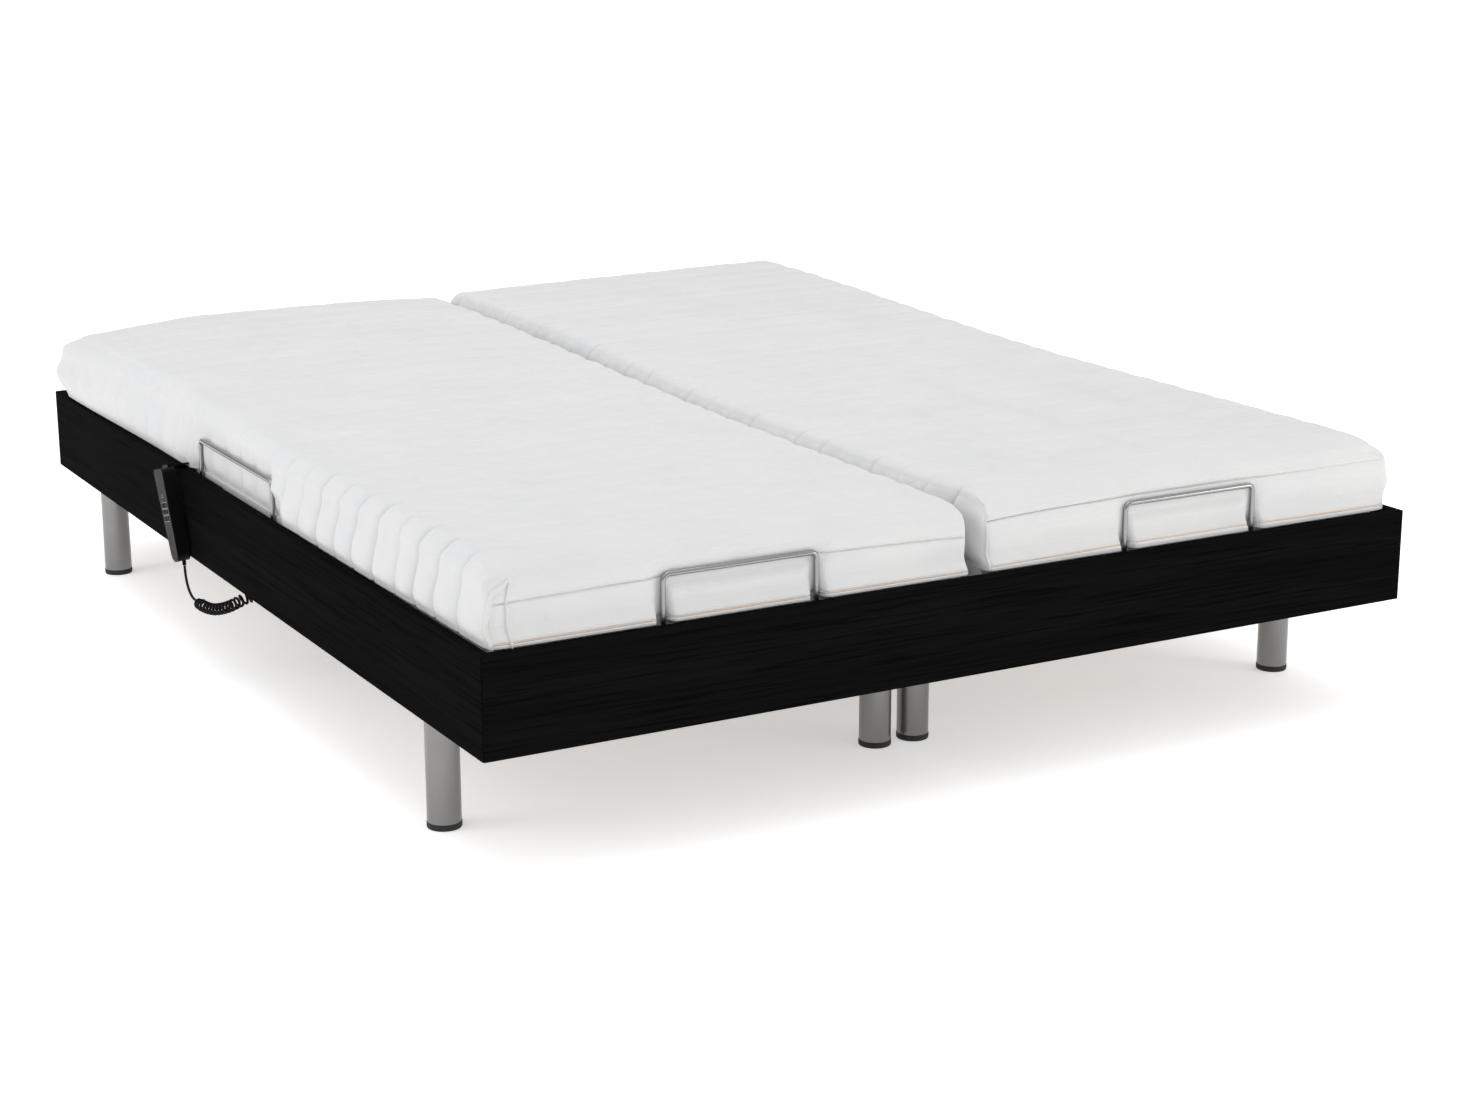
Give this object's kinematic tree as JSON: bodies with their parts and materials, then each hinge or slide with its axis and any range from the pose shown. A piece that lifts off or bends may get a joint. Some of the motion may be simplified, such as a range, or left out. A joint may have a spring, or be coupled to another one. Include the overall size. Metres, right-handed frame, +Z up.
{
  "type": "adjustable bed base",
  "caption": "Motorised adjustable double bed base in a black board surround, with two mattresses, slatted sections that tilt, retainer bars and a wired handset.",
  "frame": {"origin": "on the floor, under the middle of the part's bounding box without the cord; the bed's own middle plane is at x = +0.018, because the handset hangs out on the left", "axes": "+Z up, +Y towards the head end, +X towards the right-hand side seen from the foot end"},
  "size_m": [1.6761, 2.07, 0.469],
  "materials": {
    "black_board": "black wood-grain melamine, satin",
    "grey_steel": "grey powder coat",
    "leg_aluminium": "satin",
    "dark_rod": "dark polished rod",
    "beech_slat": "varnished beech",
    "mattress_cover": "white quilted stretch cover",
    "black_plastic": "fine moulded texture",
    "key_plastic": "soft-touch keys",
    "cord_plastic": "smooth cord jacket",
    "drive_plastic": "moulded housing",
    "circuit_board": "green solder mask"
  },
  "bodies": {
    "base": {"head_board": "black_board", "foot_board": "black_board", "left_board": "black_board", "right_board": "black_board", "control_box": "drive_plastic", "handset_cord_coil": "cord_plastic", "left_chassis": "grey_steel", "left_seat_slats": "beech_slat", "left_seat_mattress": "mattress_cover", "left_side_retainer": "dark_rod", "left_drive_housing": "drive_plastic", "left_drive_motors": "drive_plastic", "left_inner_head_leg": "leg_aluminium", "left_inner_foot_leg": "leg_aluminium", "left_outer_head_leg": "leg_aluminium", "left_outer_foot_leg": "leg_aluminium", "right_chassis": "grey_steel", "right_seat_slats": "beech_slat", "right_seat_mattress": "mattress_cover", "right_side_retainer": "dark_rod", "right_drive_housing": "drive_plastic", "right_drive_motors": "drive_plastic", "right_inner_head_leg": "leg_aluminium", "right_inner_foot_leg": "leg_aluminium", "right_outer_head_leg": "leg_aluminium", "right_outer_foot_leg": "leg_aluminium"},
    "left_back": {"left_back_frame": "grey_steel", "left_back_slats": "beech_slat", "left_back_mattress": "mattress_cover"},
    "left_thigh": {"left_thigh_frame": "grey_steel", "left_thigh_slats": "beech_slat", "left_thigh_mattress": "mattress_cover"},
    "left_calf": {"left_calf_frame": "grey_steel", "left_calf_slats": "beech_slat", "left_calf_mattress": "mattress_cover", "left_foot_retainer": "dark_rod"},
    "left_back_shaft": {"left_back_lift_shaft": "grey_steel"},
    "left_leg_shaft": {"left_leg_lift_shaft": "grey_steel"},
    "right_back": {"right_back_frame": "grey_steel", "right_back_slats": "beech_slat", "right_back_mattress": "mattress_cover"},
    "right_thigh": {"right_thigh_frame": "grey_steel", "right_thigh_slats": "beech_slat", "right_thigh_mattress": "mattress_cover"},
    "right_calf": {"right_calf_frame": "grey_steel", "right_calf_slats": "beech_slat", "right_calf_mattress": "mattress_cover", "right_foot_retainer": "dark_rod"},
    "right_back_shaft": {"right_back_lift_shaft": "grey_steel"},
    "right_leg_shaft": {"right_leg_lift_shaft": "grey_steel"},
    "handset": {"handset_front_shell": "black_plastic", "handset_back_shell": "black_plastic", "handset_circuit_board": "circuit_board", "handset_cord": "cord_plastic"},
    "key_1": {"handset_key_1": "key_plastic"},
    "key_2": {"handset_key_2": "key_plastic"},
    "key_3": {"handset_key_3": "key_plastic"},
    "key_4": {"handset_key_4": "key_plastic"},
    "key_5": {"handset_key_5": "key_plastic"},
    "key_6": {"handset_key_6": "key_plastic"}
  },
  "joints": [
    {"name": "left_back_tilt", "type": "hinge", "parent": "base", "child": "left_back", "pos_m": [-0.387, 0.2, 0.265], "axis": [1, 0, 0], "range_deg": [0, 65], "deforming": ["left_seat_mattress"]},
    {"name": "left_thigh_tilt", "type": "hinge", "parent": "base", "child": "left_thigh", "pos_m": [-0.387, -0.12, 0.265], "axis": [-1, 0, 0], "range_deg": [0, 35]},
    {"name": "left_calf_tilt", "type": "hinge", "parent": "left_thigh", "child": "left_calf", "pos_m": [-0.387, -0.42, 0.265], "axis": [-1, 0, 0], "range_deg": [-53.2, 0]},
    {"name": "left_back_shaft_turn", "type": "hinge", "parent": "base", "child": "left_back_shaft", "pos_m": [-0.387, 0.2, 0.224], "axis": [1, 0, 0], "range_deg": [0, 58.3]},
    {"name": "left_leg_shaft_turn", "type": "hinge", "parent": "base", "child": "left_leg_shaft", "pos_m": [-0.387, -0.12, 0.224], "axis": [-1, 0, 0], "range_deg": [0, 33]},
    {"name": "right_back_tilt", "type": "hinge", "parent": "base", "child": "right_back", "pos_m": [0.423, 0.2, 0.265], "axis": [1, 0, 0], "range_deg": [0, 65], "deforming": ["right_seat_mattress"]},
    {"name": "right_thigh_tilt", "type": "hinge", "parent": "base", "child": "right_thigh", "pos_m": [0.423, -0.12, 0.265], "axis": [-1, 0, 0], "range_deg": [0, 35]},
    {"name": "right_calf_tilt", "type": "hinge", "parent": "right_thigh", "child": "right_calf", "pos_m": [0.423, -0.42, 0.265], "axis": [-1, 0, 0], "range_deg": [-53.2, 0]},
    {"name": "right_back_shaft_turn", "type": "hinge", "parent": "base", "child": "right_back_shaft", "pos_m": [0.423, 0.2, 0.224], "axis": [1, 0, 0], "range_deg": [0, 58.3]},
    {"name": "right_leg_shaft_turn", "type": "hinge", "parent": "base", "child": "right_leg_shaft", "pos_m": [0.423, -0.12, 0.224], "axis": [-1, 0, 0], "range_deg": [0, 33]},
    {"name": "handset_lift_off", "type": "slide", "parent": "base", "child": "handset", "axis": [0, 0, 1], "range_m": [0, 0.05]},
    {"name": "key_1_press", "type": "slide", "parent": "handset", "child": "key_1", "axis": [0.9976, 0.0169, 0.0677], "range_m": [0, 0.0012], "stiffness_N_per_m": 150, "springref_m": -0.0005},
    {"name": "key_2_press", "type": "slide", "parent": "handset", "child": "key_2", "axis": [0.9976, 0.0169, 0.0677], "range_m": [0, 0.0012], "stiffness_N_per_m": 150, "springref_m": -0.0005},
    {"name": "key_3_press", "type": "slide", "parent": "handset", "child": "key_3", "axis": [0.9976, 0.0169, 0.0677], "range_m": [0, 0.0012], "stiffness_N_per_m": 150, "springref_m": -0.0005},
    {"name": "key_4_press", "type": "slide", "parent": "handset", "child": "key_4", "axis": [0.9976, 0.0169, 0.0677], "range_m": [0, 0.0012], "stiffness_N_per_m": 150, "springref_m": -0.0005},
    {"name": "key_5_press", "type": "slide", "parent": "handset", "child": "key_5", "axis": [0.9976, 0.0169, 0.0677], "range_m": [0, 0.0012], "stiffness_N_per_m": 150, "springref_m": -0.0005},
    {"name": "key_6_press", "type": "slide", "parent": "handset", "child": "key_6", "axis": [0.9976, 0.0169, 0.0677], "range_m": [0, 0.0012], "stiffness_N_per_m": 150, "springref_m": -0.0005}
  ],
  "couplings": [
    {"joint": "left_calf_tilt", "follows": "left_thigh_tilt", "ratio": -1.516},
    {"joint": "left_back_shaft_turn", "follows": "left_back_tilt", "ratio": 0.8957},
    {"joint": "left_leg_shaft_turn", "follows": "left_thigh_tilt", "ratio": 0.939},
    {"joint": "right_calf_tilt", "follows": "right_thigh_tilt", "ratio": -1.516},
    {"joint": "right_back_shaft_turn", "follows": "right_back_tilt", "ratio": 0.8957},
    {"joint": "right_leg_shaft_turn", "follows": "right_thigh_tilt", "ratio": 0.939}
  ]
}
